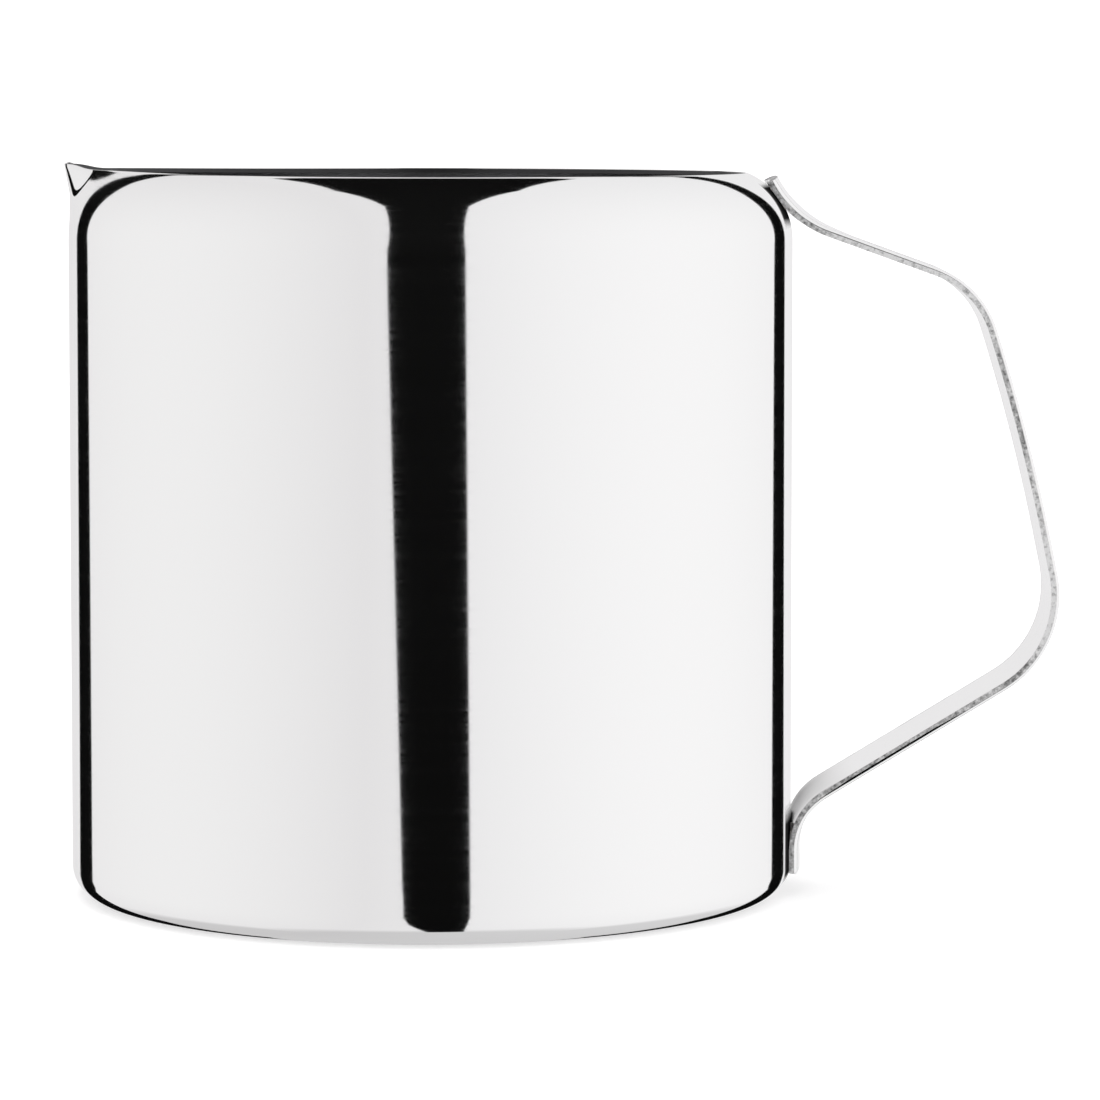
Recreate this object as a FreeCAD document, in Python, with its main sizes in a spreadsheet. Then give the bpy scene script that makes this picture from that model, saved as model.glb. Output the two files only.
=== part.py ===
import FreeCAD, Part
import math
import os
import PartDesign
import Sketcher

# A small one-piece cream jug of polished stainless steel: a deep-drawn cup with a turned-in shoulder and
# a beak pressed out of it, and a bent strip handle held by two weld nuggets at each end.
# Millimetres. +Z is up, the origin is on the jug's axis in the plane that it stands on, the handle is
# towards +X and the beak towards -X. The plane y = 0 is a mirror plane.

DIMENSIONS = {
    # The drawn cup.
    "body_radius": 36.0,
    "sheet_thickness": 0.55,
    "corner_radius": 3.0,
    "standing_ring_radius": 29.0,
    "panel_radius": 27.5,
    "panel_recess": 0.6,
    "wall_top": 65.15,
    "rim_radius": 31.4,
    "rim_height": 71.85,
    # The pull of the shoulder towards the beak: how far the rim goes out and up, and over what angle.
    "pull_out": 3.3,
    "pull_out_angle": 12.0,
    "pull_up": 0.4,
    "pull_up_angle": 32.0,
    # The beak: a V that leans outwards above its root, with a nose that is tight at the tip and grows
    # blunter below it, until the V is lost in the round wall.
    "beak_root": 69.75,
    "beak_lean": 0.2,
    "beak_side_slope": 1.0,
    "beak_nose": 3.0,
    "beak_nose_growth": 5.0,
    "beak_rise": 0.5,
    "beak_rise_angle": 7.5,
    "beak_crease": 0.4,
    # The handle strip: its section, and the bends along the outer line of its edge.
    "strip_width": 12.0,
    "strip_thickness": 0.8,
    "tab_gap": 0.1,
    "upper_tab_end_x": 34.0,
    "upper_tab_end_z": 71.35,
    "upper_root_x": 35.85,
    "upper_root_z": 67.7,
    "upper_root_radius": 10.0,
    "shoulder_bend_x": 54.5,
    "shoulder_bend_z": 60.95,
    "shoulder_bend_radius": 9.5,
    "bow_x": 59.3,
    "bow_z": 45.85,
    "bow_radius": 200.0,
    "heel_bend_x": 63.6,
    "heel_bend_z": 24.75,
    "heel_bend_radius": 11.0,
    "lower_root_z": 8.15,
    "lower_root_radius": 6.0,
    "lower_tab_end_z": 2.4,
    "crown_run": 9.0,
    # The weld nuggets.
    "nugget_diameter": 2.6,
    "nugget_spacing": 6.0,
    "upper_nugget_part_up": 0.53,
    "lower_nugget_z": 4.95,
}

# Rows of points up the shoulder's surface, and how far its lower edge may be from a true circle.
SHOULDER_ROWS = 12
JOIN_TOLERANCE = 0.001
# The beak's V is lost in the round wall within this angle, in degrees, on either side of the tip.
BEAK_REACH = 30.0
# The handle's angle from the beak, in degrees.
BEHIND = 180.0
# Spacing of the points along the handle strip.
STRIP_STEP = 1.2

doc = FreeCAD.newDocument("cream_jug")


def make_sheet():
    """The driving dimensions, one named cell each."""
    cells = doc.addObject("Spreadsheet::Sheet", "sizes")
    for row, (name, value) in enumerate(DIMENSIONS.items(), start=1):
        cells.set(f"A{row}", name)
        cells.set(f"B{row}", str(value))
        cells.setAlias(f"B{row}", name)
    doc.recompute()
    return cells


sheet = make_sheet()


def size(name):
    return float(sheet.get(name))


def origin_plane(body, role):
    return next(part for part in body.Origin.OriginFeatures if part.Role == role)


def bound_outline(body, name, corners, radii):
    """A closed sketch in the XZ plane. Each corner is a pair of expressions; radii[i] rounds edge i."""
    sketch = body.newObject("Sketcher::SketchObject", name)
    sketch.AttachmentSupport = [(origin_plane(body, "XZ_Plane"), "")]
    sketch.MapMode = "FlatFace"
    points = [FreeCAD.Vector(sketch.evalExpression(x), sketch.evalExpression(z), 0) for x, z in corners]
    count = len(points)
    for i, start in enumerate(points):
        end = points[(i + 1) % count]
        if i in radii:
            sketch.addGeometry(corner_arc(start, end, sketch.evalExpression(radii[i])))
        else:
            sketch.addGeometry(Part.LineSegment(start, end))
    # Arcs run anticlockwise, so an edge that goes down round a corner starts at its arc's second end.
    starts = [2 if i in radii and points[i].y > points[(i + 1) % count].y else 1 for i in range(count)]
    for i in range(count):
        following = (i + 1) % count
        sketch.addConstraint(Sketcher.Constraint("Coincident", i, 3 - starts[i], following, starts[following]))
    for i, (x, z) in enumerate(corners):
        for kind, expression, value in (("DistanceX", x, points[i].x), ("DistanceY", z, points[i].y)):
            if abs(value) < 1e-9:
                axis = -2 if kind == "DistanceX" else -1
                sketch.addConstraint(Sketcher.Constraint("PointOnObject", i, starts[i], axis))
                continue
            index = sketch.addConstraint(Sketcher.Constraint(kind, -1, 1, i, starts[i], value))
            sketch.setExpression(f"Constraints[{index}]", expression)
    for i, expression in radii.items():
        index = sketch.addConstraint(Sketcher.Constraint("Radius", i, sketch.evalExpression(expression)))
        sketch.setExpression(f"Constraints[{index}]", expression)
    return sketch


def corner_arc(start, end, radius):
    """The quarter circle between the base and the wall, with its centre towards the axis and above."""
    centre = FreeCAD.Vector(min(start.x, end.x), max(start.y, end.y), 0)
    return Part.ArcOfCircle(Part.Circle(centre, FreeCAD.Vector(0, 0, 1), radius), -math.pi / 2, 0)


def make_cup():
    """Base, standing ring, bottom corner and straight wall, revolved up to where the shoulder starts."""
    cup = doc.addObject("PartDesign::Body", "cup_below_shoulder")
    inside = "(sizes.body_radius - sizes.sheet_thickness)"
    panel_step = "sizes.sheet_thickness / 3"
    corners = [
        ("0", "sizes.panel_recess"),
        ("sizes.panel_radius", "sizes.panel_recess"),
        ("sizes.standing_ring_radius", "0"),
        ("sizes.body_radius - sizes.corner_radius", "0"),
        ("sizes.body_radius", "sizes.corner_radius"),
        ("sizes.body_radius", "sizes.wall_top"),
        (inside, "sizes.wall_top"),
        (inside, "sizes.corner_radius"),
        ("sizes.body_radius - sizes.corner_radius", "sizes.sheet_thickness"),
        ("sizes.standing_ring_radius + " + panel_step, "sizes.sheet_thickness"),
        ("sizes.panel_radius + " + panel_step, "sizes.panel_recess + sizes.sheet_thickness"),
        ("0", "sizes.panel_recess + sizes.sheet_thickness"),
    ]
    radii = {3: "sizes.corner_radius", 7: "sizes.corner_radius - sizes.sheet_thickness"}
    sketch = bound_outline(cup, "cup_section", corners, radii)
    turn = cup.newObject("PartDesign::Revolution", "cup_turned")
    turn.Profile = sketch
    turn.ReferenceAxis = (sketch, ["V_Axis"])
    turn.Angle = 360
    cup.Tip = turn
    doc.recompute()
    return cup


def bell(angle, width):
    return math.exp(-0.5 * (angle / width) ** 2)


def rim_height_at(angle):
    """Height of the rim at an angle, in degrees, from the beak."""
    pull = size("pull_up") * bell(angle, size("pull_up_angle"))
    lift = size("beak_rise") * math.exp(-((angle / size("beak_rise_angle")) ** 4))
    return size("rim_height") + pull + lift


def beak_radius(angle, z):
    """Distance from the axis to the rounded V of the beak."""
    around = size("body_radius") * math.radians(angle)
    tip_height = size("rim_height") + size("pull_up") + size("beak_rise")
    nose = size("beak_nose") + size("beak_nose_growth") * max(0.0, tip_height - z)
    fall = size("beak_side_slope") * (math.hypot(around, nose) - nose)
    return size("body_radius") + size("beak_lean") * max(0.0, z - size("beak_root")) - fall


def smooth_max(first, second, width):
    if width <= 0:
        return max(first, second)
    overlap = max(0.0, width - abs(first - second)) / width
    return max(first, second) + overlap * overlap * width / 4


def shoulder_point(angle, part_up):
    """Outer point of the shoulder: part_up runs from 0 where the wall ends to 1 at the rim.

    Each meridian is a circular arc that leaves the wall vertically and ends at the rim.
    Near the beak the surface is whichever stands further out, the arc or the beak's V.
    """
    rim_radius = size("rim_radius") + size("pull_out") * bell(angle, size("pull_out_angle"))
    inward = size("body_radius") - rim_radius
    upward = rim_height_at(angle) - size("wall_top")
    half_turn = math.atan2(inward, upward)
    chord = math.hypot(inward, upward) * math.sin(part_up * half_turn) / math.sin(half_turn)
    radius = size("body_radius") - chord * math.sin(part_up * half_turn)
    z = size("wall_top") + chord * math.cos(part_up * half_turn)
    if abs(angle) < BEAK_REACH:
        radius = smooth_max(radius, beak_radius(angle, z), size("beak_crease") * part_up)
    azimuth = math.radians(180 - angle)
    return FreeCAD.Vector(radius * math.cos(azimuth), radius * math.sin(azimuth), z)


def shoulder_inner_point(angle, part_up):
    """The point one sheet thickness inside shoulder_point, along the surface's normal."""
    step_angle, step_up = 0.05, 0.002
    low, high = max(0.0, part_up - step_up), min(1.0, part_up + step_up)
    around = shoulder_point(angle + step_angle, part_up) - shoulder_point(angle - step_angle, part_up)
    upward = shoulder_point(angle, high) - shoulder_point(angle, low)
    if part_up == 0:
        upward = FreeCAD.Vector(0, 0, 1)
    outward = upward.cross(around).normalize()
    return shoulder_point(angle, part_up) - outward * size("sheet_thickness")


def skin(grid, across, along, closed):
    """A cubic B-spline surface through grid[i][j], with i at parameter along[i] and j at across[j].

    closed joins the last point of every row to its first.
    """
    rows = []
    for points in grid:
        curve = Part.BSplineCurve()
        curve.interpolate(Points=points, PeriodicFlag=closed, Parameters=across)
        rows.append(curve)
    columns = []
    for poles in zip(*(row.getPoles() for row in rows)):
        curve = Part.BSplineCurve()
        curve.interpolate(Points=list(poles), Parameters=along)
        columns.append(curve)
    surface = Part.BSplineSurface()
    surface.buildFromPolesMultsKnots(
        [column.getPoles() for column in columns],
        rows[0].getMultiplicities(), columns[0].getMultiplicities(),
        rows[0].getKnots(), columns[0].getKnots(),
        closed, False, rows[0].Degree, columns[0].Degree,
    )
    return surface


def shoulder_angles():
    """Angles from the beak, from -180 to 180 degrees: close together at the beak, further apart behind."""
    half = [float(a) for a in range(0, 12)] + [float(a) for a in range(12, 24, 2)]
    half += [float(a) for a in range(24, 60, 4)] + [float(a) for a in range(60, 181, 6)]
    return [-a for a in reversed(half[1:])] + half


def solid_from(faces, name):
    """One closed solid made of faces that meet along their edges."""
    solid = Part.Solid(Part.makeShell(faces))
    if not solid.isClosed() or not solid.isValid():
        raise RuntimeError(f"{name} is not a closed, valid solid")
    if solid.Volume < 0:
        solid.reverse()
    return solid


def make_jug_body(cup):
    """The whole drawn piece: the cup below, and the shoulder with its beak joined on as one sheet."""
    angles = shoulder_angles()
    across = [math.radians(angle) for angle in angles]
    along = [i / SHOULDER_ROWS for i in range(SHOULDER_ROWS + 1)]
    outer = skin([[shoulder_point(a, up) for a in angles[:-1]] for up in along], across, along, True)
    inner = skin([[shoulder_inner_point(a, up) for a in angles[:-1]] for up in along], across, along, True)
    faces = [outer.toShape(), inner.toShape()]
    for up in (0.0, 1.0):
        faces.append(Part.makeRuledSurface(outer.vIso(up).toShape(), inner.vIso(up).toShape()))
    shoulder = solid_from(faces, "shoulder")
    body = doc.addObject("Part::Feature", "jug_body")
    body.Shape = cup.Shape.fuse(shoulder, JOIN_TOLERANCE).Solids[0]
    body.Placement = FreeCAD.Placement()
    return body


def bent_path(corners, radii, step):
    """Points, outward normals and distances along straight runs joined by tangent bends.

    corners are (x, z) pairs from the upper tab to the lower one; radii are those of the inner corners.
    """
    vectors = [FreeCAD.Vector(x, 0, z) for x, z in corners]
    pieces = []
    start = vectors[0]
    for before, corner, after, radius in zip(vectors, vectors[1:], vectors[2:], radii):
        into = (corner - before).normalize()
        out = (after - corner).normalize()
        reach = radius * math.tan(into.getAngle(out) / 2)
        enter, leave = corner - into * reach, corner + out * reach
        middle = corner + (out - into).normalize() * (math.hypot(radius, reach) - radius)
        pieces.append(Part.LineSegment(start, enter))
        pieces.append(Part.Arc(enter, middle, leave))
        start = leave
    pieces.append(Part.LineSegment(start, vectors[-1]))
    stations = []
    travelled = 0.0
    for piece in pieces:
        length = piece.length()
        count = max(1, math.ceil(length / step))
        for i in range(count):
            stations.append(path_station(piece, i / count, travelled + length * i / count))
        travelled += length
    stations.append(path_station(pieces[-1], 1.0, travelled))
    return stations


def path_station(piece, part_along, distance):
    parameter = piece.FirstParameter + (piece.LastParameter - piece.FirstParameter) * part_along
    tangent = piece.tangent(parameter)[0]
    outward = FreeCAD.Vector(-tangent.z, 0, tangent.x)
    return piece.value(parameter), outward, distance


def ease(t):
    t = min(1.0, max(0.0, t))
    return t * t * (3 - 2 * t)


def make_handle_strip():
    """The bent strip. Its tabs are dished across their width to lie on the round body."""
    half = size("strip_width") / 2
    tab_radius = size("body_radius") + size("tab_gap") + size("strip_thickness")
    tab_edge_x = math.sqrt(tab_radius ** 2 - half ** 2)
    crown = tab_radius - tab_edge_x
    corners = [
        (size("upper_tab_end_x"), size("upper_tab_end_z")),
        (size("upper_root_x"), size("upper_root_z")),
        (size("shoulder_bend_x"), size("shoulder_bend_z")),
        (size("bow_x"), size("bow_z")),
        (size("heel_bend_x"), size("heel_bend_z")),
        (tab_edge_x, size("lower_root_z")),
        (tab_edge_x, size("lower_tab_end_z")),
    ]
    names = ("upper_root_radius", "shoulder_bend_radius", "bow_radius", "heel_bend_radius",
             "lower_root_radius")
    stations = bent_path(corners, [size(name) for name in names], STRIP_STEP)
    length = stations[-1][2]
    flat_after = size("crown_run")

    def grid(depth):
        rows = []
        for point, outward, distance in stations:
            from_end = min(distance, length - distance)
            dish = crown * (1 - ease((from_end - flat_after / 3) / flat_after))
            row = []
            for i in range(-2, 3):
                y = half * i / 2
                rise = dish * (1 - (y / half) ** 2) - depth
                row.append(point + outward * rise + FreeCAD.Vector(0, y, 0))
            rows.append(row)
        return rows

    along = [distance / length for _, _, distance in stations]
    across = [0.0, 0.25, 0.5, 0.75, 1.0]
    outer = skin(grid(0.0), across, along, False)
    inner = skin(grid(size("strip_thickness")), across, along, False)
    faces = [outer.toShape(), inner.toShape()]
    for side in (0.0, 1.0):
        faces.append(Part.makeRuledSurface(outer.uIso(side).toShape(), inner.uIso(side).toShape()))
        faces.append(Part.makeRuledSurface(outer.vIso(side).toShape(), inner.vIso(side).toShape()))
    strip = doc.addObject("Part::Feature", "handle_strip")
    strip.Shape = solid_from(faces, "handle_strip")
    strip.Placement = FreeCAD.Placement()
    return strip


def make_nuggets(name, start, outward, body, strip):
    """Two weld nuggets: what is left of two pins, square to the wall, in the gap under a tab."""
    tilt = math.degrees(math.atan2(outward.x, outward.z))
    pins = []
    for side, direction in (("near", "-"), ("far", "")):
        pin = doc.addObject("Part::Cylinder", f"{name}_{side}_pin")
        pin.setExpression("Radius", "sizes.nugget_diameter / 2")
        pin.setExpression("Height", "(sizes.sheet_thickness + sizes.strip_thickness) / 2 + sizes.tab_gap")
        pin.Placement = FreeCAD.Placement(start, FreeCAD.Rotation(FreeCAD.Vector(0, 1, 0), tilt))
        pin.setExpression("Placement.Base.y", f"{direction}sizes.nugget_spacing / 2")
        pins.append(pin)
    both = doc.addObject("Part::Compound", f"{name}_pins")
    both.Links = pins
    sheets = doc.addObject("Part::Compound", f"{name}_sheets")
    sheets.Links = [body, strip]
    nuggets = doc.addObject("Part::Cut", name)
    nuggets.Base = both
    nuggets.Tool = sheets
    return nuggets


def check_and_export(nodes):
    doc.recompute()
    for item in doc.Objects:
        if "Invalid" in item.State or "Error" in item.State:
            raise RuntimeError(f"{item.Label} failed: {item.State}")
    os.makedirs("parts", exist_ok=True)
    for label, (item, solid_count) in nodes.items():
        item.Label = label
        shape = item.Shape
        if shape.isNull() or not shape.isValid() or len(shape.Solids) != solid_count:
            raise RuntimeError(f"{label} is not {solid_count} valid solid(s)")
        shape.exportStep(f"parts/{label}.step")
        print(label, len(shape.Solids), "solid(s)", round(shape.Volume, 2), "mm3", shape.BoundBox)


cup = make_cup()
jug_body = make_jug_body(cup)
handle_strip = make_handle_strip()

upper_outer = shoulder_point(BEHIND, size("upper_nugget_part_up"))
upper_inner = shoulder_inner_point(BEHIND, size("upper_nugget_part_up"))
upper_weld_nuggets = make_nuggets(
    "upper_weld_nuggets", (upper_outer + upper_inner) / 2, upper_outer - upper_inner,
    jug_body, handle_strip)
lower_start = FreeCAD.Vector(size("body_radius") - size("sheet_thickness") / 2, 0, size("lower_nugget_z"))
lower_weld_nuggets = make_nuggets(
    "lower_weld_nuggets", lower_start, FreeCAD.Vector(1, 0, 0), jug_body, handle_strip)

check_and_export({
    "jug_body": (jug_body, 1),
    "handle_strip": (handle_strip, 1),
    "upper_weld_nuggets": (upper_weld_nuggets, 2),
    "lower_weld_nuggets": (lower_weld_nuggets, 2),
})
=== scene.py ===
import bpy
import math
from mathutils import Matrix, Vector


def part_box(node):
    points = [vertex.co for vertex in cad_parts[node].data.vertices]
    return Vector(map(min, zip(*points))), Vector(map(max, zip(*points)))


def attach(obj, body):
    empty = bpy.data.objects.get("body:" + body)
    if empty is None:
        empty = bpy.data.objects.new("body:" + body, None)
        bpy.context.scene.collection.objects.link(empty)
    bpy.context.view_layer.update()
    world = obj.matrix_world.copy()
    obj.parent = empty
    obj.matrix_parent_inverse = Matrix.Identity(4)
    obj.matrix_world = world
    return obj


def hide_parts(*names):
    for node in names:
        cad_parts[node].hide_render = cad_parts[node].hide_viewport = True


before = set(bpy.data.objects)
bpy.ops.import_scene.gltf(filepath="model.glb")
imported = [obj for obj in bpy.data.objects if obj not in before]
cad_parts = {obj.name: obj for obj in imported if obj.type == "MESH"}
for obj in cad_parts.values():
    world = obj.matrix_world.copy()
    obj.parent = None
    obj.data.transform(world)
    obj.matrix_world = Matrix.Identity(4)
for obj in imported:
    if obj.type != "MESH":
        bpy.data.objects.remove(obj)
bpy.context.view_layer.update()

MM = 0.001

# ------------------------------------------------------------------ sizes, in millimetres, as in the CAD
BODY_RADIUS = (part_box("jug_body")[1][1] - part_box("jug_body")[0][1]) / 2 / MM
SHEET = 0.55
CORNER_RADIUS = 3.0
RING_RADIUS = 29.0
PANEL_RADIUS = 27.5
PANEL_RECESS = 0.6
WALL_TOP = 65.15
RIM_RADIUS = 31.4
RIM_HEIGHT = 71.85
PULL_OUT, PULL_OUT_ANGLE = 3.3, 12.0
PULL_UP, PULL_UP_ANGLE = 0.4, 32.0
BEAK_ROOT = 69.75
BEAK_LEAN = 0.2
BEAK_SIDE_SLOPE = 1.0
BEAK_NOSE, BEAK_NOSE_GROWTH = 3.0, 5.0
BEAK_RISE, BEAK_RISE_ANGLE = 0.5, 7.5
BEAK_TIP_HEIGHT = RIM_HEIGHT + PULL_UP + BEAK_RISE
BEAK_CREASE = 0.4
# The beak's V is lost in the round wall within this angle, in degrees, on either side of the tip.
BEAK_REACH = 30.0
RIM_ROUND = 0.09
# About the length of the shoulder's arc from the wall to the rim.
SHOULDER_LENGTH = 8.5
# How far the soft step between the base's panel and its standing ring runs past each of them.
STEP_OVERRUN = 0.6

STRIP_WIDTH = 12.0
STRIP_THICKNESS = 0.8
TAB_GAP = 0.1
HALF_WIDTH = STRIP_WIDTH / 2
TAB_RADIUS = BODY_RADIUS + TAB_GAP + STRIP_THICKNESS
TAB_EDGE_X = math.sqrt(TAB_RADIUS ** 2 - HALF_WIDTH ** 2)
CROWN = TAB_RADIUS - TAB_EDGE_X
CROWN_RUN = 9.0
# Corners of the strip's outer line, as (x, z), and the radius of the bend at each inner corner.
STRIP_CORNERS = [(34.0, 71.35), (35.85, 67.7), (54.5, 60.95), (59.3, 45.85), (63.6, 24.75),
                 (TAB_EDGE_X, 8.15), (TAB_EDGE_X, 2.4)]
STRIP_RADII = [10.0, 9.5, 200.0, 11.0, 6.0]
STRIP_EDGE_ROUND = 0.06
STRIP_FACE_ROUND = 0.3
STRIP_END_ROUND = 0.1
# Spacing of the mesh's rings along the strip.
STRIP_STEP = 0.55
# The extra depth of the burnished part of the cut edge on the run up from the lower tab, and where it is.
BURNISHED_DEPTH = 0.17
BURNISHED_LOW, BURNISHED_HIGH = 9.0, 19.0

# Places of the metals in the body's and the strip's material slots.
OUTSIDE, INSIDE, UNDERSIDE, CUT = range(4)
OUTER_FACE, EDGE, INNER_FACE = range(3)


# ------------------------------------------------------------------ small mesh helpers
def new_piece(name, vertices, faces, materials, material_of_face):
    """A smooth-shaded mesh object from points in millimetres."""
    mesh = bpy.data.meshes.new(name)
    mesh.from_pydata([tuple(c * MM for c in v) for v in vertices], [], faces)
    for material in materials:
        mesh.materials.append(material)
    mesh.polygons.foreach_set("material_index", material_of_face)
    mesh.polygons.foreach_set("use_smooth", [True] * len(faces))
    mesh.validate()
    mesh.set_sharp_from_angle(angle=math.radians(40))
    piece = bpy.data.objects.new(name, mesh)
    bpy.context.scene.collection.objects.link(piece)
    return piece


def spread(first, last, count):
    """count + 1 evenly spaced numbers."""
    return [first + (last - first) * i / count for i in range(count + 1)]


def ease(t):
    """0 below 0, 1 above 1 and a smooth S between."""
    t = min(1.0, max(0.0, t))
    return t * t * (3 - 2 * t)


# ------------------------------------------------------------------ the drawn body
def bell(angle, width):
    return math.exp(-0.5 * (angle / width) ** 2)


def smooth_max(first, second, width):
    """The larger of two lengths, blended where they differ by less than width."""
    if width <= 0:
        return max(first, second)
    overlap = max(0.0, width - abs(first - second)) / width
    return max(first, second) + overlap * overlap * width / 4


def beak_radius(angle, z):
    """Distance from the axis to the beak: a V whose nose is tight at the tip and blunter lower down."""
    around = BODY_RADIUS * math.radians(angle)
    nose = BEAK_NOSE + BEAK_NOSE_GROWTH * max(0.0, BEAK_TIP_HEIGHT - z)
    fall = BEAK_SIDE_SLOPE * (math.hypot(around, nose) - nose)
    return BODY_RADIUS + BEAK_LEAN * max(0.0, z - BEAK_ROOT) - fall


def shoulder_point(angle, part_up):
    """Outer point of the shoulder at an angle, in degrees, from the beak; part_up is 1 at the rim."""
    inward = BODY_RADIUS - RIM_RADIUS - PULL_OUT * bell(angle, PULL_OUT_ANGLE)
    lift = BEAK_RISE * math.exp(-((angle / BEAK_RISE_ANGLE) ** 4))
    upward = RIM_HEIGHT + PULL_UP * bell(angle, PULL_UP_ANGLE) + lift - WALL_TOP
    half_turn = math.atan2(inward, upward)
    chord = math.hypot(inward, upward) * math.sin(part_up * half_turn) / math.sin(half_turn)
    radius = BODY_RADIUS - chord * math.sin(part_up * half_turn)
    z = WALL_TOP + chord * math.cos(part_up * half_turn)
    if abs(angle) < BEAK_REACH:
        radius = smooth_max(radius, beak_radius(angle, z), BEAK_CREASE * part_up)
    return polar(radius, angle, z)


def polar(radius, angle, z):
    """The point at an angle, in degrees, from the beak."""
    azimuth = math.radians(180 - angle)
    return Vector((radius * math.cos(azimuth), radius * math.sin(azimuth), z))


def shoulder_frame(angle, part_up):
    """The outer point there, the outward normal and the direction up along the sheet."""
    step_angle, step_up = 0.05, 0.002
    around = shoulder_point(angle + step_angle, part_up) - shoulder_point(angle - step_angle, part_up)
    upward = (shoulder_point(angle, part_up + step_up)
              - shoulder_point(angle, max(0.0, part_up - step_up))).normalized()
    if part_up == 0:
        upward = Vector((0, 0, 1))
    outward = upward.cross(around).normalized()
    return shoulder_point(angle, part_up), outward, upward


def shoulder_column(angle):
    """Points up the outside of the shoulder, across the rim's cut edge and down the inside."""
    last = 1 - RIM_ROUND / SHOULDER_LENGTH
    frames = [shoulder_frame(angle, last * t) for t in spread(0.0, 1.0, 34)]
    outside = [point for point, _, _ in frames]
    inside = [point - outward * SHEET for point, outward, _ in frames[::2]]
    rim_point, outward, upward = shoulder_frame(angle, 1.0)
    centre = rim_point - (outward + upward) * RIM_ROUND
    for turn in spread(0.0, math.pi / 2, 4)[1:]:
        outside.append(centre + (outward * math.cos(turn) + upward * math.sin(turn)) * RIM_ROUND)
    cut = [rim_point - outward * depth for depth in spread(RIM_ROUND, SHEET, 3)[1:]]
    return outside, cut, inside[:-1][::-1]


def arc(centre_r, centre_z, radius, first, last, count):
    """(r, z) points on an arc, with the angle in degrees from the outward direction."""
    return [(centre_r + radius * math.cos(math.radians(a)), centre_z + radius * math.sin(math.radians(a)))
            for a in spread(first, last, count)]


def eased_step(r_first, z_first, r_last, z_last, count):
    """A soft S-shaped step between two levels of the base."""
    return [(r_first + (r_last - r_first) * t, z_first + (z_last - z_first) * ease(t))
            for t in spread(0.0, 1.0, count)]


def base_rows():
    """(r, z) from the middle of the recessed base panel to the standing ring."""
    rows = [(r, PANEL_RECESS) for r in spread(1.5, PANEL_RADIUS - 1.0, 10)]
    rows += eased_step(PANEL_RADIUS - STEP_OVERRUN, PANEL_RECESS, RING_RADIUS + STEP_OVERRUN, 0.0, 10)
    return rows + [(r, 0.0) for r in spread(RING_RADIUS + 0.9, BODY_RADIUS - CORNER_RADIUS, 4)]


def wall_rows():
    """(r, z) round the bottom corner and up the straight wall."""
    rows = arc(BODY_RADIUS - CORNER_RADIUS, CORNER_RADIUS, CORNER_RADIUS, -90, 0, 22)[1:]
    return rows + [(BODY_RADIUS, z) for z in spread(CORNER_RADIUS, WALL_TOP, 24)[1:-1]]


def inside_below():
    """(r, z) from the top of the straight wall down the inside to the middle of the floor."""
    corner_r = BODY_RADIUS - CORNER_RADIUS
    rows = [(BODY_RADIUS - SHEET, z) for z in spread(WALL_TOP, CORNER_RADIUS, 12)[1:-1]]
    rows += arc(corner_r, CORNER_RADIUS, CORNER_RADIUS - SHEET, 0, -90, 12)
    panel_top = PANEL_RECESS + SHEET
    rows += eased_step(RING_RADIUS + STEP_OVERRUN, SHEET, PANEL_RADIUS - STEP_OVERRUN, panel_top, 8)
    return rows + [(r, panel_top) for r in spread(PANEL_RADIUS - 1.0, 1.5, 8)]


def body_angles():
    """Angles of the mesh's columns: about a third of a degree apart at the beak, and 1.3 behind."""
    half = spread(0.0, 14.0, 40) + spread(14.0, 32.0, 24)[1:] + spread(32.0, 180.0, 110)[1:]
    return [-a for a in reversed(half[1:-1])] + half


def make_body(outside_metal, inside_metal, base_metal, cut_metal):
    base, wall, floor = base_rows(), wall_rows(), inside_below()
    columns = []
    for angle in body_angles():
        outside, cut, inside = shoulder_column(angle)
        column = [polar(r, angle, z) for r, z in base + wall]
        columns.append(column + outside + cut + inside + [polar(r, angle, z) for r, z in floor])
    # The material of the band that ends at each row.
    materials = [UNDERSIDE] * len(base) + [OUTSIDE] * (len(wall) + len(outside))
    materials += [CUT] * len(cut) + [INSIDE] * (len(inside) + len(floor))
    rows, count = len(materials), len(columns)
    vertices = [point for column in columns for point in column]
    base_centre, floor_centre = len(vertices), len(vertices) + 1
    vertices += [Vector((0, 0, PANEL_RECESS)), Vector((0, 0, PANEL_RECESS + SHEET))]
    faces, material_of_face = [], []
    for i in range(count):
        here, there = i * rows, (i + 1) % count * rows
        for j in range(rows - 1):
            faces.append((here + j, here + j + 1, there + j + 1, there + j))
            material_of_face.append(materials[j + 1])
        faces.append((base_centre, here, there))
        material_of_face.append(UNDERSIDE)
        faces.append((floor_centre, there + rows - 1, here + rows - 1))
        material_of_face.append(INSIDE)
    body = new_piece("drawn_jug_body", vertices, faces,
                     [outside_metal, inside_metal, base_metal, cut_metal], material_of_face)
    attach(body, "root")
    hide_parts("jug_body")


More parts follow.
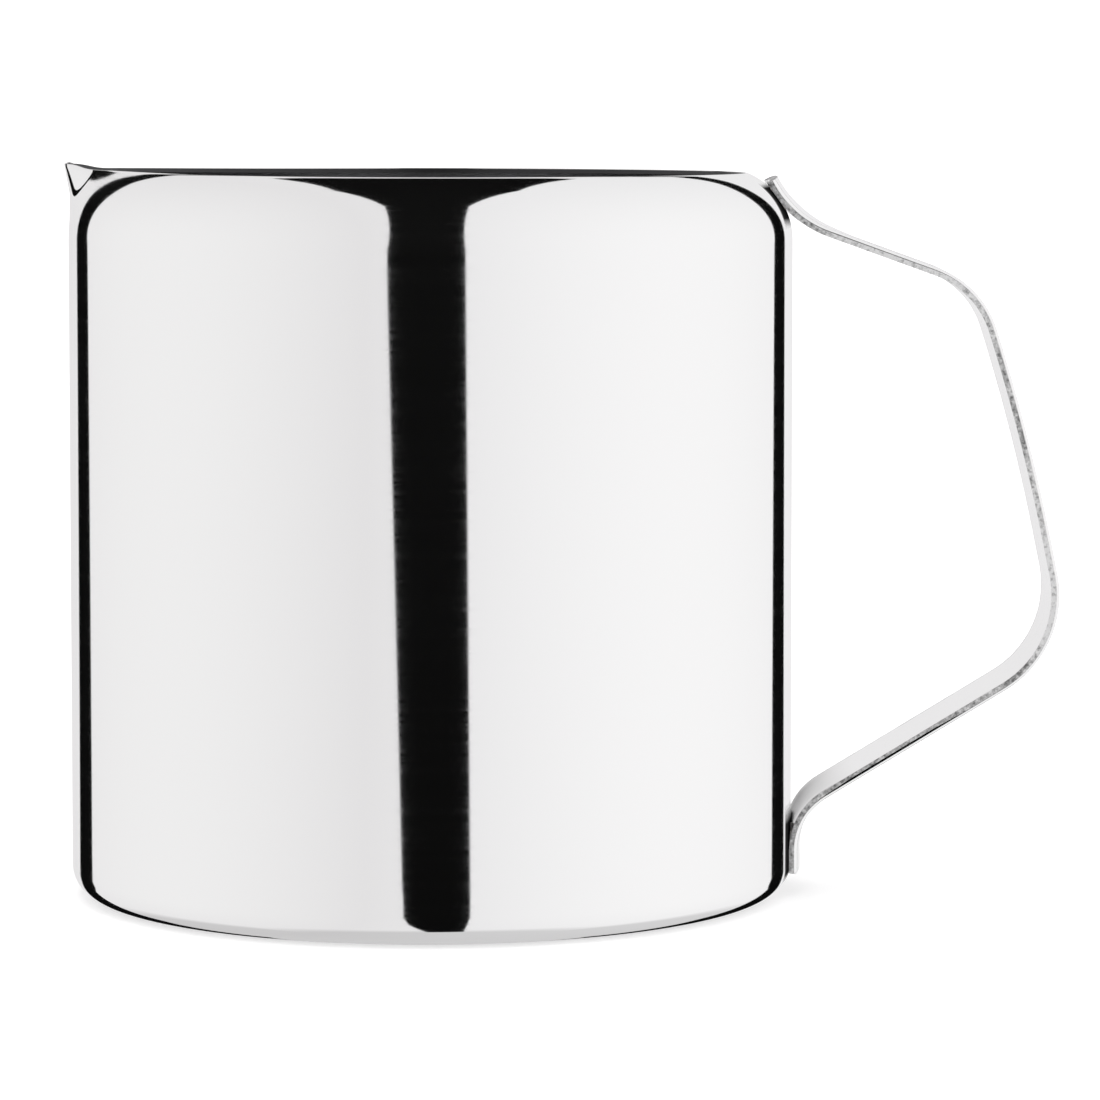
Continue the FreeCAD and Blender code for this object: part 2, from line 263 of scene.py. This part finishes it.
# ------------------------------------------------------------------ the handle strip
def strip_stations(step):
    """Points, outward normals and distances along the strip's outer line."""
    points = [Vector((x, 0, z)) for x, z in STRIP_CORNERS]
    stations, travelled, start = [], 0.0, points[0]

    def add_straight(first, last):
        length = (last - first).length
        along = (last - first).normalized()
        count = max(1, math.ceil(length / step))
        for i in range(count):
            stations.append((first + along * length * i / count, along, travelled + length * i / count))
        return length

    for before, corner, after, radius in zip(points, points[1:], points[2:], STRIP_RADII):
        into, out = (corner - before).normalized(), (after - corner).normalized()
        turn = into.angle(out)
        reach = radius * math.tan(turn / 2)
        enter = corner - into * reach
        travelled += add_straight(start, enter)
        inwards = (out - into * into.dot(out)).normalized()
        centre = enter + inwards * radius
        count = max(4, math.ceil(radius * turn / step))
        for i in range(count):
            a = turn * i / count
            here = centre - inwards * radius * math.cos(a) + into * radius * math.sin(a)
            along = into * math.cos(a) + inwards * math.sin(a)
            stations.append((here, along, travelled + radius * a))
        travelled += radius * turn
        start = corner + out * reach
    travelled += add_straight(start, points[-1])
    stations.append((points[-1], (points[-1] - points[-2]).normalized(), travelled))
    return [(p, Vector((-t.z, 0, t.x)), t, d) for p, t, d in stations]


def torn_depth(height):
    """How far below the outer face the torn part of the cut edge begins, at a height on the strip."""
    fade = min(height - BURNISHED_LOW, BURNISHED_HIGH - height) / 3
    return STRIP_FACE_ROUND + 0.01 + BURNISHED_DEPTH * ease(fade)


def strip_section(shrink, torn_from):
    """(y, depth) round the strip's section, rolled over on the outer face and nearly sharp on the inner.

    The first points are the outer face, then one cut edge, the inner face and the other cut edge.
    """
    half, deep = HALF_WIDTH - shrink, STRIP_THICKNESS - 2 * shrink
    face, edge = STRIP_FACE_ROUND, STRIP_EDGE_ROUND
    outline = []

    def rounded(centre_y, centre_depth, radius, first, last, count):
        for a in spread(math.radians(first), math.radians(last), count):
            outline.append((centre_y + radius * math.cos(a), centre_depth - radius * math.sin(a)))

    for y in spread(-(half - face), half - face, 12)[1:-1]:
        outline.append((y, 0.0))
    rounded(half - face, face, face, 90, 0, 5)
    outline.append((half, torn_from))
    rounded(half - edge, deep - edge, edge, 0, -90, 3)
    for y in spread(half - edge, -(half - edge), 12)[1:-1]:
        outline.append((y, deep))
    rounded(-(half - edge), deep - edge, edge, -90, -180, 3)
    outline.append((-half, torn_from))
    rounded(-(half - face), face, face, 180, 90, 5)
    return [(y, depth + shrink) for y, depth in outline]


def is_torn(section, j):
    """Whether the side of the section that starts at its point j is on the torn part of a cut edge."""
    (y, depth), (next_y, next_depth) = section[j], section[(j + 1) % len(section)]
    on_edge = min(abs(y), abs(next_y)) > HALF_WIDTH - STRIP_EDGE_ROUND
    return on_edge and min(depth, next_depth) > STRIP_FACE_ROUND


def make_strip(outer_metal, edge_metal, inner_metal):
    stations = strip_stations(STRIP_STEP)
    length = stations[-1][3]
    count = len(strip_section(0.0, 0.0))
    torn_band = [j for j in range(count) if is_torn(strip_section(0.0, torn_depth(0.0)), j)]
    vertices, faces, material_of_face = [], [], []

    def add_ring(station, shrink, slide):
        point, outward, along, distance = station
        outline = strip_section(shrink, torn_depth(point.z) - shrink)
        from_end = min(distance, length - distance)
        dish = CROWN * (1 - ease((from_end - CROWN_RUN / 3) / CROWN_RUN))
        for y, depth in outline:
            rise = dish * (1 - (y / HALF_WIDTH) ** 2) - depth
            vertices.append(point + outward * rise + along * slide + Vector((0, y, 0)))

    add_ring(stations[0], STRIP_END_ROUND, 0.0)
    add_ring(stations[0], 0.0, STRIP_END_ROUND)
    for station in stations[1:-1]:
        add_ring(station, 0.0, 0.0)
    add_ring(stations[-1], 0.0, -STRIP_END_ROUND)
    add_ring(stations[-1], STRIP_END_ROUND, 0.0)
    rings = len(vertices) // count
    for i in range(rings - 1):
        for j in range(count):
            a, b = i * count + j, i * count + (j + 1) % count
            faces.append((a, b, b + count, a + count))
            if i in (0, rings - 2) or j in torn_band:
                material_of_face.append(EDGE)
            elif torn_band[0] < j < torn_band[-1]:
                material_of_face.append(INNER_FACE)
            else:
                material_of_face.append(OUTER_FACE)
    faces.append(tuple(range(count))[::-1])
    faces.append(tuple(range(len(vertices) - count, len(vertices))))
    material_of_face += [EDGE, EDGE]
    strip = new_piece("bent_handle_strip", vertices, faces,
                      [outer_metal, edge_metal, inner_metal], material_of_face)
    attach(strip, "root")
    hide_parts("handle_strip")
    strip.visible_glossy = False


# ------------------------------------------------------------------ materials
class Shader:
    """A Principled material with short helpers for adding nodes."""

    def __init__(self, name, color, roughness):
        self.material = bpy.data.materials.new(name)
        self.material.use_nodes = True
        self.tree = self.material.node_tree
        self.surface = self.tree.nodes["Principled BSDF"]
        self.surface.inputs["Base Color"].default_value = (*color, 1)
        self.surface.inputs["Metallic"].default_value = 1.0
        self.surface.inputs["Roughness"].default_value = roughness

    def node(self, kind, **inputs):
        node = self.tree.nodes.new(kind)
        for name, value in inputs.items():
            self.set(node.inputs[name.replace("_", " ")], value)
        return node

    def set(self, socket, value):
        if isinstance(value, bpy.types.NodeSocket):
            self.tree.links.new(value, socket)
        else:
            socket.default_value = value

    def math(self, operation, first, second=None):
        node = self.tree.nodes.new("ShaderNodeMath")
        node.operation = operation
        self.set(node.inputs[0], first)
        if second is not None:
            self.set(node.inputs[1], second)
        return node.outputs[0]

    def object_position(self):
        return self.node("ShaderNodeTexCoord").outputs["Object"]

    def around_and_up(self, around_scale, up_scale):
        """Coordinates that run round the jug's axis and up it, for marks left by a spinning polisher."""
        split = self.node("ShaderNodeSeparateXYZ", Vector=self.object_position())
        azimuth = self.math("ARCTAN2", split.outputs["Y"], split.outputs["X"])
        radius = self.math("SQRT", self.math(
            "ADD", self.math("MULTIPLY", split.outputs["X"], split.outputs["X"]),
            self.math("MULTIPLY", split.outputs["Y"], split.outputs["Y"])))
        joined = self.node("ShaderNodeCombineXYZ")
        self.set(joined.inputs["X"], self.math("MULTIPLY", azimuth, around_scale))
        self.set(joined.inputs["Y"], self.math("MULTIPLY", radius, up_scale))
        self.set(joined.inputs["Z"], self.math("MULTIPLY", split.outputs["Z"], up_scale))
        return joined.outputs[0]

    def noise(self, vector, scale, detail=2.0, roughness=0.5):
        node = self.node("ShaderNodeTexNoise", Vector=vector, Scale=scale, Detail=detail,
                         Roughness=roughness)
        return node.outputs["Fac"]

    def remap(self, value, low, high, to_low, to_high):
        node = self.tree.nodes.new("ShaderNodeMapRange")
        for socket, number in zip(node.inputs, (value, low, high, to_low, to_high)):
            self.set(socket, number)
        return node.outputs[0]

    def mix(self, factor, first, second):
        node = self.tree.nodes.new("ShaderNodeMix")
        node.data_type = "RGBA"
        self.set(node.inputs["Factor"], factor)
        for name, tone in (("A", first), ("B", second)):
            socket = next(i for i in node.inputs if i.name == name and i.type == "RGBA")
            self.set(socket, tone if isinstance(tone, bpy.types.NodeSocket) else (*tone, 1))
        return next(o for o in node.outputs if o.type == "RGBA")

    def roughness(self, value):
        self.set(self.surface.inputs["Roughness"], value)

    def bump(self, height, distance_mm, strength=1.0):
        node = self.node("ShaderNodeBump", Height=height, Distance=distance_mm * MM, Strength=strength)
        if self.surface.inputs["Normal"].is_linked:
            self.set(node.inputs["Normal"], self.surface.inputs["Normal"].links[0].from_socket)
        self.set(self.surface.inputs["Normal"], node.outputs["Normal"])


def painted_tab_reflection_mask(steel):
    """A mask, 1 on the strips of wall just beside the upper and the lower tab and 0 elsewhere: where the
    tabs' dark reflection is painted.
    """
    split = steel.node("ShaderNodeSeparateXYZ", Vector=steel.object_position())
    aside = steel.math("ABSOLUTE", split.outputs["Y"])
    beside = steel.remap(aside, 7.9 * MM, 7.3 * MM, 0.0, 1.0)
    behind = steel.remap(split.outputs["X"], 30 * MM, 31 * MM, 0.0, 1.0)
    upper = steel.remap(split.outputs["Z"], 66.4 * MM, 67.4 * MM, 0.0, 1.0)
    upper = steel.math("MULTIPLY", upper, steel.remap(split.outputs["Z"], 70.9 * MM, 70.4 * MM, 0.0, 1.0))
    lower = steel.remap(split.outputs["Z"], 9.5 * MM, 7.5 * MM, 0.0, 1.0)
    lower = steel.math("MULTIPLY", lower, steel.remap(split.outputs["Z"], 1.6 * MM, 2.4 * MM, 0.0, 1.0))
    return steel.math("MULTIPLY", steel.math("MULTIPLY", beside, behind),
                      steel.math("MAXIMUM", upper, lower))


def polished_outside():
    """Mirror-polished steel: fine marks of the polishing wheel, and a painted reflection of the tabs as a
    dark, dull band on the wall beside them.
    """
    steel = Shader("polished_outside", (0.955, 0.955, 0.955), 0.05)
    marks = steel.noise(steel.around_and_up(1.2, 3200.0), 1.0, 3.0, 0.6)
    polish = steel.remap(marks, 0.35, 0.7, 0.04, 0.07)
    steel.bump(steel.noise(steel.object_position(), 45.0, 1.0), 0.004)
    # Painted reflection: beside each tab the wall is made near-black, non-metallic and duller, standing in
    # for the tab's reflection.
    painted_reflection = painted_tab_reflection_mask(steel)
    tone = steel.mix(painted_reflection, (0.955, 0.955, 0.955), (0.02, 0.02, 0.02))
    steel.set(steel.surface.inputs["Base Color"], tone)
    steel.set(steel.surface.inputs["Metallic"], steel.math("SUBTRACT", 1.0, painted_reflection))
    steel.surface.inputs["Specular IOR Level"].default_value = 0.0
    steel.roughness(steel.math("ADD", polish, steel.math("MULTIPLY", painted_reflection, 0.35)))
    return steel.material


def satin_inside():
    """The inside as it left the press: satin, with fine drawing lines round it."""
    steel = Shader("satin_inside", (0.58, 0.58, 0.59), 0.3)
    lines = steel.noise(steel.around_and_up(2.0, 1800.0), 1.0, 3.0, 0.6)
    steel.roughness(steel.remap(lines, 0.3, 0.7, 0.20, 0.38))
    steel.bump(lines, 0.002)
    return steel.material


def polished_base():
    """The underside: polished less carefully, with turning marks and fine scuffs on the ring."""
    steel = Shader("polished_base", (0.88, 0.88, 0.89), 0.15)
    turned = steel.noise(steel.around_and_up(1.0, 2200.0), 1.0, 2.0, 0.6)
    scuffs = steel.noise(steel.object_position(), 900.0, 3.0, 0.7)
    steel.roughness(steel.math("ADD", steel.remap(turned, 0.3, 0.7, 0.08, 0.2),
                               steel.remap(scuffs, 0.55, 0.8, 0.0, 0.15)))
    steel.bump(turned, 0.002)
    return steel.material


def polished_strip(name, painted_root_shade):
    """The handle's faces: tumbled bright, and on the inside a painted shade that darkens the face towards
    the body beside the lower weld.
    """
    steel = Shader(name, (0.96, 0.96, 0.96), 0.1)
    marks = steel.noise(steel.object_position(), 700.0, 3.0, 0.6)
    steel.roughness(steel.remap(marks, 0.4, 0.75, 0.07, 0.16))
    steel.bump(steel.noise(steel.object_position(), 220.0, 2.0), 0.004)
    if painted_root_shade:
        # Painted shade: the inner face is darkened towards the body near the lower root.
        split = steel.node("ShaderNodeSeparateXYZ", Vector=steel.object_position())
        near = steel.remap(split.outputs["X"], 42.5 * MM, 37.0 * MM, 0.0, 1.0)
        low = steel.remap(split.outputs["Z"], 20.0 * MM, 15.0 * MM, 0.0, 1.0)
        root_shade = steel.math("MULTIPLY", steel.math("POWER", near, 1.6), low)
        tone = steel.mix(root_shade, (0.98, 0.98, 0.98), (0.16, 0.16, 0.16))
        steel.set(steel.surface.inputs["Base Color"], tone)
    return steel.material


def sheared_edge():
    """The strip's cut edges: grey speckle torn by the shear, cleaner above and rubbed at the heel."""
    steel = Shader("sheared_edge", (0.6, 0.6, 0.6), 0.5)
    steel.surface.inputs["Metallic"].default_value = 0.35
    tears = steel.noise(steel.object_position(), 2300.0, 3.0, 0.75)
    patches = steel.noise(steel.object_position(), 260.0, 2.0, 0.5)
    split = steel.node("ShaderNodeSeparateXYZ", Vector=steel.object_position())
    rubbed = steel.remap(split.outputs["X"], 58.6 * MM, 60.6 * MM, 0.0, 0.16)
    upper = steel.math("MULTIPLY", steel.remap(split.outputs["Z"], 54.0 * MM, 61.0 * MM, 0.0, 0.15),
                       steel.remap(split.outputs["X"], 38.0 * MM, 41.0 * MM, 0.0, 1.0))
    clean = steel.math("ADD", steel.math("ADD", tears, steel.math("MULTIPLY", patches, 0.35)), rubbed)
    torn = steel.remap(steel.math("ADD", clean, upper), 0.54, 0.86, 0.0, 1.0)
    tone = steel.mix(torn, (0.16, 0.16, 0.16), (0.80, 0.80, 0.80))
    steel.set(steel.surface.inputs["Base Color"], tone)
    steel.roughness(steel.remap(torn, 0.0, 1.0, 0.62, 0.42))
    steel.bump(tears, 0.04)
    return steel.material


def painted_shade_rim():
    """The rim's cut edge: dull, and near-black as painted shade beside the polish."""
    # Painted shade: the near-black base colour makes the rim's edge far darker than bare steel would be.
    steel = Shader("painted_shade_rim", (0.05, 0.05, 0.052), 0.4)
    marks = steel.noise(steel.around_and_up(400.0, 900.0), 1.0, 2.0, 0.6)
    steel.roughness(steel.remap(marks, 0.3, 0.7, 0.3, 0.5))
    steel.bump(marks, 0.004)
    return steel.material


def weld_metal():
    """Remelted steel of the weld nuggets."""
    steel = Shader("weld_metal", (0.42, 0.40, 0.38), 0.45)
    grain = steel.noise(steel.object_position(), 1800.0, 3.0, 0.7)
    steel.roughness(steel.remap(grain, 0.3, 0.7, 0.35, 0.6))
    steel.bump(grain, 0.01)
    return steel.material


# ------------------------------------------------------------------ studio
CAMERA_FROM_AXIS = 0.4846
CAMERA_HEIGHT = 0.07905
CAMERA_AZIMUTH = 2.1
CARD_DISTANCE = 8.0
UNLIT = 0.0035


def studio_direction(azimuth, elevation):
    """A unit vector; azimuth is in degrees from the camera's side, positive to the camera's right."""
    turn = math.radians(azimuth + CAMERA_AZIMUTH)
    level = math.cos(math.radians(elevation))
    return Vector((level * math.sin(turn), -level * math.cos(turn), math.sin(math.radians(elevation))))


def unlit_card(name, grid):
    """A black card far from the jug, seen only in its reflections. grid holds rows of unit directions."""
    rows, columns = len(grid), len(grid[0])
    middle = Vector((0, 0, CAMERA_HEIGHT / 2))
    points = [middle + direction * CARD_DISTANCE for row in grid for direction in row]
    faces = []
    for i in range(rows - 1):
        for j in range(columns - 1):
            a = i * columns + j
            faces.append((a, a + 1, a + columns + 1, a + columns))
    mesh = bpy.data.meshes.new(name)
    mesh.from_pydata(points, [], faces)
    black = bpy.data.materials.new(name)
    black.use_nodes = True
    surface = black.node_tree.nodes["Principled BSDF"]
    surface.inputs["Base Color"].default_value = (0, 0, 0, 1)
    surface.inputs["Specular IOR Level"].default_value = 0.0
    surface.inputs["Emission Color"].default_value = (1, 1, 1, 1)
    surface.inputs["Emission Strength"].default_value = UNLIT
    mesh.materials.append(black)
    card = bpy.data.objects.new(name, mesh)
    bpy.context.scene.collection.objects.link(card)
    card.visible_camera = False
    card.visible_diffuse = False
    card.visible_shadow = False


def overhead_gap():
    """The unlit gap between two big soft boxes: up from the camera's side, overhead and down behind.

    Each entry is the angle over the top and the gap's two edges, as sideways parts of a unit vector.
    """
    edges = [(-66, -0.02, 0.12), (-36, -0.115, 0.17), (-10, -0.155, 0.20), (-2, -0.233, 0.182),
             (68, -0.178, 0.146), (101, -0.242, 0.222), (135, -0.19, 0.173)]
    turn = Matrix.Rotation(math.radians(CAMERA_AZIMUTH), 3, "Z")
    grid = []
    for (a0, l0, r0), (a1, l1, r1) in zip(edges, edges[1:]):
        for t in spread(0.0, 1.0, 8):
            over = math.radians(a0 + (a1 - a0) * t)
            left, right = l0 + (l1 - l0) * t, r0 + (r1 - r0) * t
            row = []
            for side in spread(left, right, 8):
                level = math.sqrt(1 - side * side)
                row.append(turn @ Vector((side, -math.cos(over) * level, math.sin(over) * level)))
            grid.append(row)
    return grid


def rounded_loop(half_width, low, high, narrowing):
    """Directions round a rounded rectangle on the side away from the camera, narrower at the top."""
    loop = []
    for turn in spread(0.0, 2 * math.pi, 96):
        across, up = math.cos(turn), math.sin(turn)
        elevation = (low + high) / 2 + (high - low) / 2 * math.copysign(math.sqrt(abs(up)), up)
        reach = half_width * (1 - narrowing * elevation) * math.copysign(math.sqrt(abs(across)), across)
        loop.append(studio_direction(180.3 + reach, elevation))
    return loop


def low_gap(side):
    """The unlit gap between the backdrop and the table, on the camera's left (-1) or right (1)."""
    edges = [(-19, 2.0, 35.0), (-28, 5.0, 31.0), (-37, 9.0, 24.0)]
    return [[studio_direction(180.3 - side * across, elevation) for across in spread(inner, outer, 8)]
            for elevation, inner, outer in edges]


def make_studio():
    unlit_card("gap_over_camera", overhead_gap())
    outer_edge = rounded_loop(41.0, -22.5, 30.0, 0.004)
    inner_edge = rounded_loop(28.8, -17.0, 25.5, 0.0)
    unlit_card("frame_of_backdrop", [outer_edge, inner_edge])
    for side in (-1, 1):
        unlit_card("gap_under_backdrop", low_gap(side))


def make_world():
    """An even white studio: the soft box on the right is brighter, and it dims towards the table."""
    world = bpy.data.worlds.new("studio")
    world.use_nodes = True
    tree = world.node_tree
    position = tree.nodes.new("ShaderNodeTexCoord")
    split = tree.nodes.new("ShaderNodeSeparateXYZ")
    tree.links.new(position.outputs["Generated"], split.inputs[0])
    across = tree.nodes.new("ShaderNodeMapRange")
    across.inputs["From Min"].default_value = -1.0
    tree.links.new(split.outputs["X"], across.inputs["Value"])
    boxes = tree.nodes.new("ShaderNodeValToRGB")
    tree.links.new(across.outputs[0], boxes.inputs[0])
    ramp = boxes.color_ramp
    tones = [(0.0, (0.895, 0.89, 0.89)), (0.34, (0.80, 0.79, 0.795)),
             (0.63, (0.865, 0.86, 0.865)), (1.0, (0.965, 0.96, 0.962))]
    while len(ramp.elements) < len(tones):
        ramp.elements.new(0.5)
    for element, (place, tone) in zip(ramp.elements, tones):
        element.position = place
        element.color = (*tone, 1)
    down = tree.nodes.new("ShaderNodeMapRange")
    for name, value in (("From Min", -0.93), ("From Max", -0.84), ("To Min", 0.75), ("To Max", 1.0)):
        down.inputs[name].default_value = value
    # Behind the jug the table's dimmer reflection reaches higher than on the camera's side.
    behind = tree.nodes.new("ShaderNodeMath")
    behind.operation = "MAXIMUM"
    behind.inputs[1].default_value = 0.0
    tree.links.new(split.outputs["Y"], behind.inputs[0])
    lowered = tree.nodes.new("ShaderNodeMath")
    lowered.operation = "MULTIPLY_ADD"
    lowered.inputs[1].default_value = -0.5
    tree.links.new(behind.outputs[0], lowered.inputs[0])
    tree.links.new(split.outputs["Z"], lowered.inputs[2])
    tree.links.new(lowered.outputs[0], down.inputs["Value"])
    background = tree.nodes["Background"]
    tree.links.new(boxes.outputs[0], background.inputs["Color"])
    tree.links.new(down.outputs[0], background.inputs["Strength"])
    bpy.context.scene.world = world


def make_floor():
    """A white sweep: a floor that curves up behind into a backdrop."""
    depth, bend, height, half = 1.5, 1.2, 3.0, 4.0
    profile = [(-half, 0.0), (0.0, 0.0), (depth, 0.0)]
    for a in spread(0.0, math.pi / 2, 24)[1:]:
        profile.append((depth + bend * math.sin(a), bend - bend * math.cos(a)))
    profile.append((depth + bend, height))
    points = [(x, y, z) for y, z in profile for x in (-half, half)]
    faces = [(2 * i, 2 * i + 1, 2 * i + 3, 2 * i + 2) for i in range(len(profile) - 1)]
    mesh = bpy.data.meshes.new("white_sweep")
    mesh.from_pydata(points, [], faces)
    mesh.polygons.foreach_set("use_smooth", [True] * len(faces))
    paper = bpy.data.materials.new("white_paper")
    paper.use_nodes = True
    surface = paper.node_tree.nodes["Principled BSDF"]
    surface.inputs["Base Color"].default_value = (0.92, 0.92, 0.92, 1)
    surface.inputs["Roughness"].default_value = 0.9
    surface.inputs["Specular IOR Level"].default_value = 0.0
    surface.inputs["Emission Color"].default_value = (1, 1, 1, 1)
    surface.inputs["Emission Strength"].default_value = 0.34
    mesh.materials.append(paper)
    floor = bpy.data.objects.new("white_sweep", mesh)
    bpy.context.scene.collection.objects.link(floor)
    floor.visible_glossy = False


def make_top_light():
    """A large soft light above that lifts the paper to white and gives the jug a faint soft shadow."""
    lamp = bpy.data.lights.new("top_light", "AREA")
    lamp.shape = "DISK"
    lamp.size = 1.6
    lamp.energy = 6.0
    light = bpy.data.objects.new("top_light", lamp)
    light.location = (-0.1, -0.1, 1.8)
    light.visible_glossy = False
    light.visible_camera = False
    bpy.context.scene.collection.objects.link(light)


def make_camera():
    """The camera looks slightly down from just above the rim; a small shift keeps the walls upright."""
    data = bpy.data.cameras.new("camera")
    data.sensor_width = 36.0
    data.lens = 158.98
    data.clip_start, data.clip_end = 0.01, 50.0
    pitch, yaw = 4.006, 1.4
    data.shift_y = -0.10
    camera = bpy.data.objects.new("camera", data)
    turn = math.radians(CAMERA_AZIMUTH)
    camera.location = (CAMERA_FROM_AXIS * math.sin(turn), -CAMERA_FROM_AXIS * math.cos(turn), CAMERA_HEIGHT)
    camera.rotation_euler = (math.radians(90 - pitch), 0, turn - math.radians(yaw))
    bpy.context.scene.collection.objects.link(camera)
    bpy.context.scene.camera = camera


# ------------------------------------------------------------------ the scene
make_camera()
make_body(polished_outside(), satin_inside(), polished_base(), painted_shade_rim())
make_strip(polished_strip("polished_strip", False), sheared_edge(), polished_strip("strip_inside", True))

weld = weld_metal()
for node in ("upper_weld_nuggets", "lower_weld_nuggets"):
    for slot in bpy.data.objects[node].material_slots:
        slot.material = weld

make_studio()
make_world()
make_floor()
make_top_light()
bpy.context.scene.view_settings.view_transform = "Standard"
